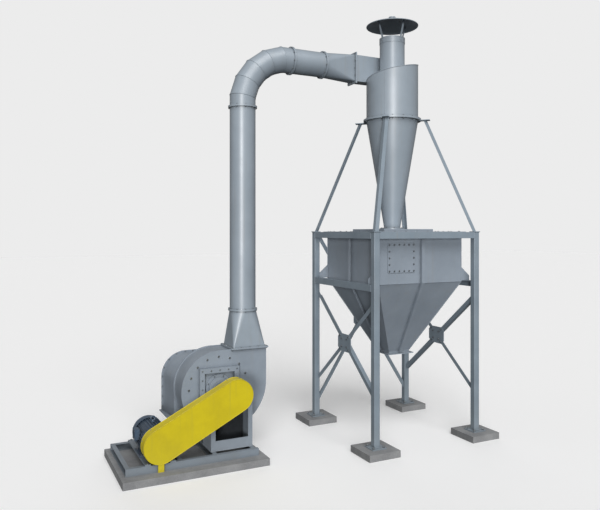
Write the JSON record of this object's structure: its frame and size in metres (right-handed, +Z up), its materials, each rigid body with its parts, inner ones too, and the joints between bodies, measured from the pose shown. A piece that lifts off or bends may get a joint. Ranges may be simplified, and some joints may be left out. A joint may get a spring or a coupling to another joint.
{
  "type": "cyclone separator",
  "caption": "Cyclone dust separator with helical roof, rain cap and pyramid hopper on a braced stand, fed by a belt-driven fan through a riser duct and gored elbow.",
  "frame": {"origin": "on the ground, in the middle of the footprint of the fan slab and the stand's pads", "axes": "+Z up; +X from the fan to the cyclone, along the duct; +Y away from the belt guard, towards the duct side"},
  "size_m": [4.34, 1.825, 5.188],
  "materials": {
    "concrete": "cast concrete, off the form",
    "stand_paint": "grey-blue enamel brushed over rolled steel",
    "hopper_paint": "grey-blue enamel sprayed on welded sheet",
    "cyclone_paint": "grey-blue enamel sprayed on rolled sheet",
    "duct_paint": "grey-blue enamel sprayed on rolled sheet",
    "fan_paint": "grey-blue enamel sprayed on welded plate",
    "skid_paint": "grey-blue enamel on rolled channel",
    "machined_steel": "turned steel shaft and plain welded wheel",
    "bearing_iron": "painted cast iron",
    "motor_enamel": "dark slate enamel on cast iron",
    "guard_yellow": "yellow safety enamel on folded sheet"
  },
  "bodies": {
    "root": {"concrete_pads": "concrete", "fan_slab": "concrete", "legs": "stand_paint", "leg_base_plates": "stand_paint", "leg_cap_plates": "stand_paint", "top_rails": "stand_paint", "hopper_rails": "stand_paint", "left_braces": "stand_paint", "right_braces": "stand_paint", "back_braces": "stand_paint", "brace_gussets": "stand_paint", "stay_tabs": "stand_paint", "stays": "stand_paint", "hopper_box": "hopper_paint", "hopper_pyramid": "hopper_paint", "hopper_ribs": "hopper_paint", "hopper_lugs": "hopper_paint", "hopper_lid": "hopper_paint", "lid_cover": "hopper_paint", "access_plate": "hopper_paint", "cyclone_cone": "cyclone_paint", "helical_roof": "cyclone_paint", "cyclone_barrel": "cyclone_paint", "cyclone_inlet": "cyclone_paint", "outlet_pipe": "cyclone_paint", "rain_cap": "cyclone_paint", "cap_straps": "cyclone_paint", "inlet_transition": "duct_paint", "straight_duct": "duct_paint", "gored_elbow": "duct_paint", "riser_duct": "duct_paint", "fan_transition": "duct_paint", "scroll_wrap": "fan_paint", "scroll_outlet_flange": "fan_paint", "scroll_front_plate": "fan_paint", "scroll_back_plate": "fan_paint", "suction_hood": "fan_paint", "drive_frame": "fan_paint", "shaft_seal": "fan_paint", "bearing_pedestal": "fan_paint", "scroll_foot": "fan_paint", "skid_rails": "skid_paint", "skid_crossers": "skid_paint", "motor_slides": "skid_paint", "fan_wheel": "machined_steel", "fan_shaft": "machined_steel", "shaft_bearings": "bearing_iron", "motor": "motor_enamel", "motor_cowl": "motor_enamel", "terminal_box": "motor_enamel", "belt_guard": "guard_yellow", "guard_back_plate": "guard_yellow"}
  },
  "joints": []
}
